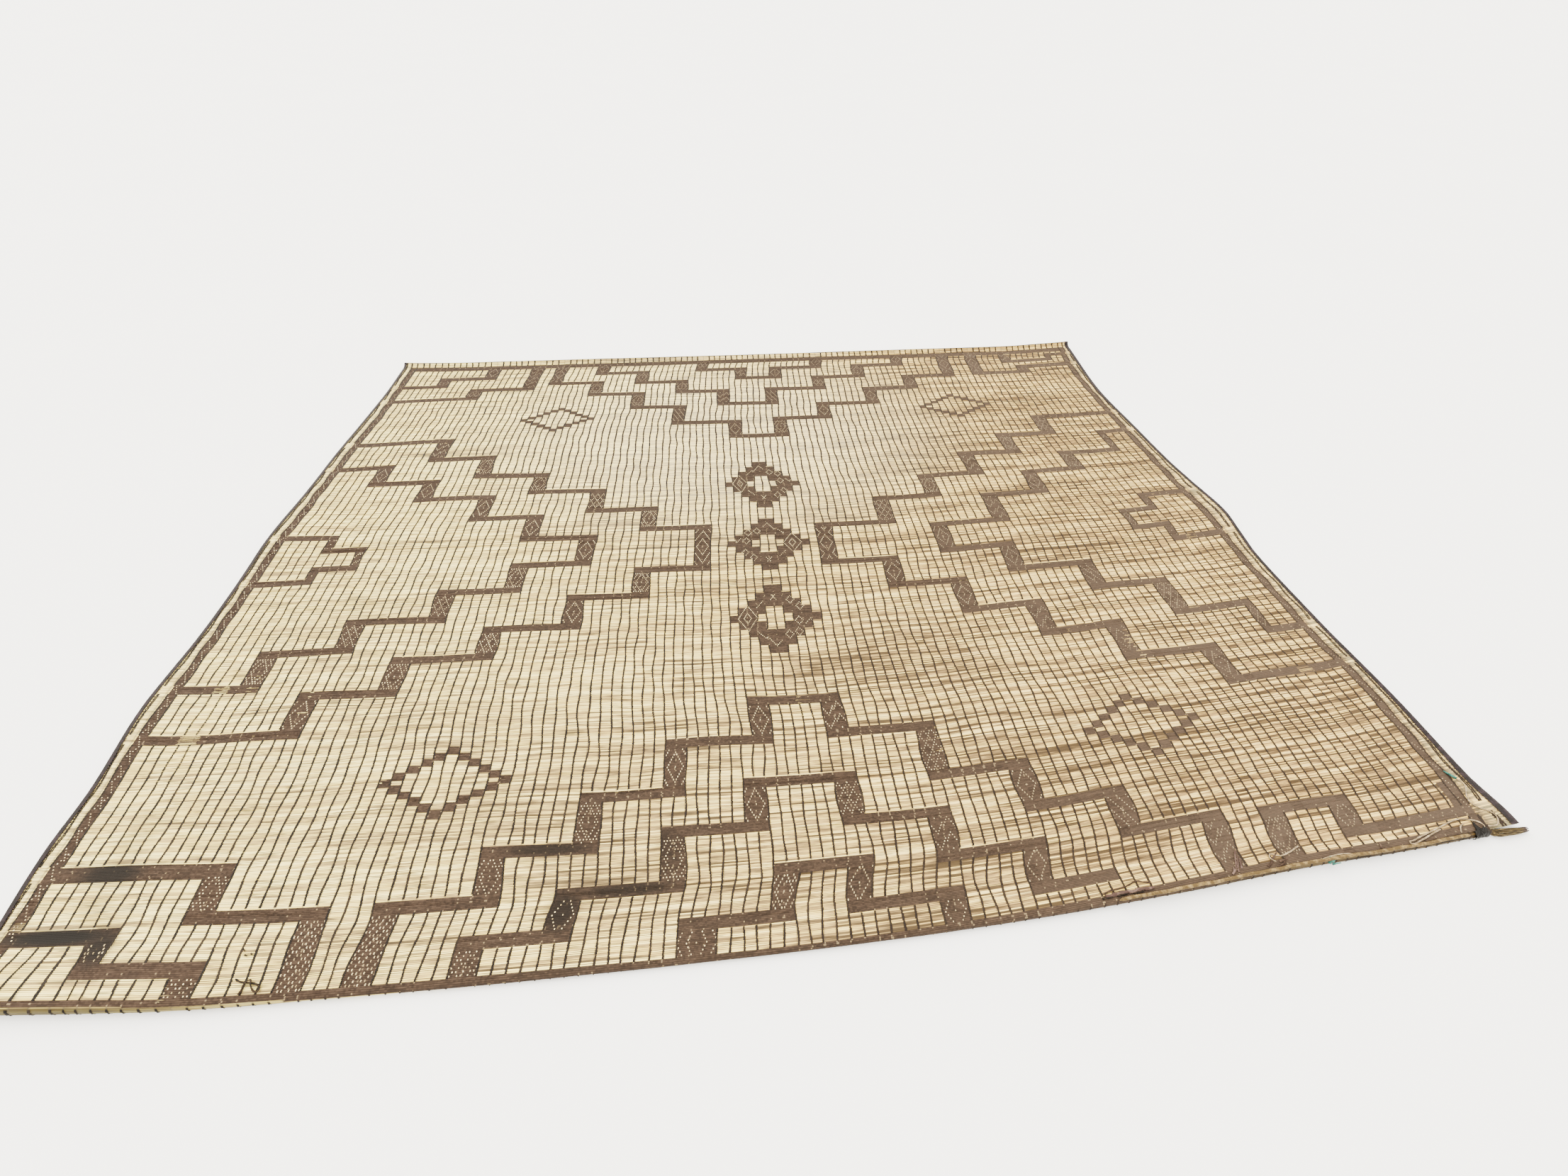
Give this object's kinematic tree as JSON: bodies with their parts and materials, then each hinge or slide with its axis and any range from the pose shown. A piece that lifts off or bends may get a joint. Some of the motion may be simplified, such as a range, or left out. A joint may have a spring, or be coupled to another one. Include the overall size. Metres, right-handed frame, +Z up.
{
  "type": "tuareg mat",
  "caption": "Large floor mat of straw-coloured reeds bound and patterned with woven brown leather, its side edges bound in dark leather, lying flat with its near edge turned under.",
  "frame": {"origin": "on the underside of the mat where it lies on the floor, at the middle of the woven field", "axes": "+X along the reeds towards the corner with the tie thong, +Y from the near edge that is turned under to the far edge, +Z up"},
  "size_m": [3.9495, 2.9947, 0.0456],
  "materials": {
    "reed": "dry split reed with a soft sheen, striped cream, straw and tan, with woven brown leather",
    "edge_leather": "dark aubergine goat leather, worn and matt",
    "brown_leather": "brown leather thong, dry and matt",
    "black_leather": "black leather scrap, slightly shiny",
    "pale_leather": "pale grey-beige rawhide thong, dry",
    "teal_thread": "faded teal thread whipping"
  },
  "bodies": {
    "root": {"reed_mat": "reed", "left_binding": "edge_leather", "right_binding": "edge_leather", "edge_cord": "brown_leather", "reed_bundle": "reed", "corner_patch": "black_leather", "tie_thong": "pale_leather", "teal_whipping": "teal_thread", "loop_thong": "pale_leather", "small_loop_thong": "pale_leather", "knotted_thong": "brown_leather", "stub_thong": "brown_leather", "tail_thong": "brown_leather", "curled_thong": "brown_leather"}
  },
  "joints": []
}
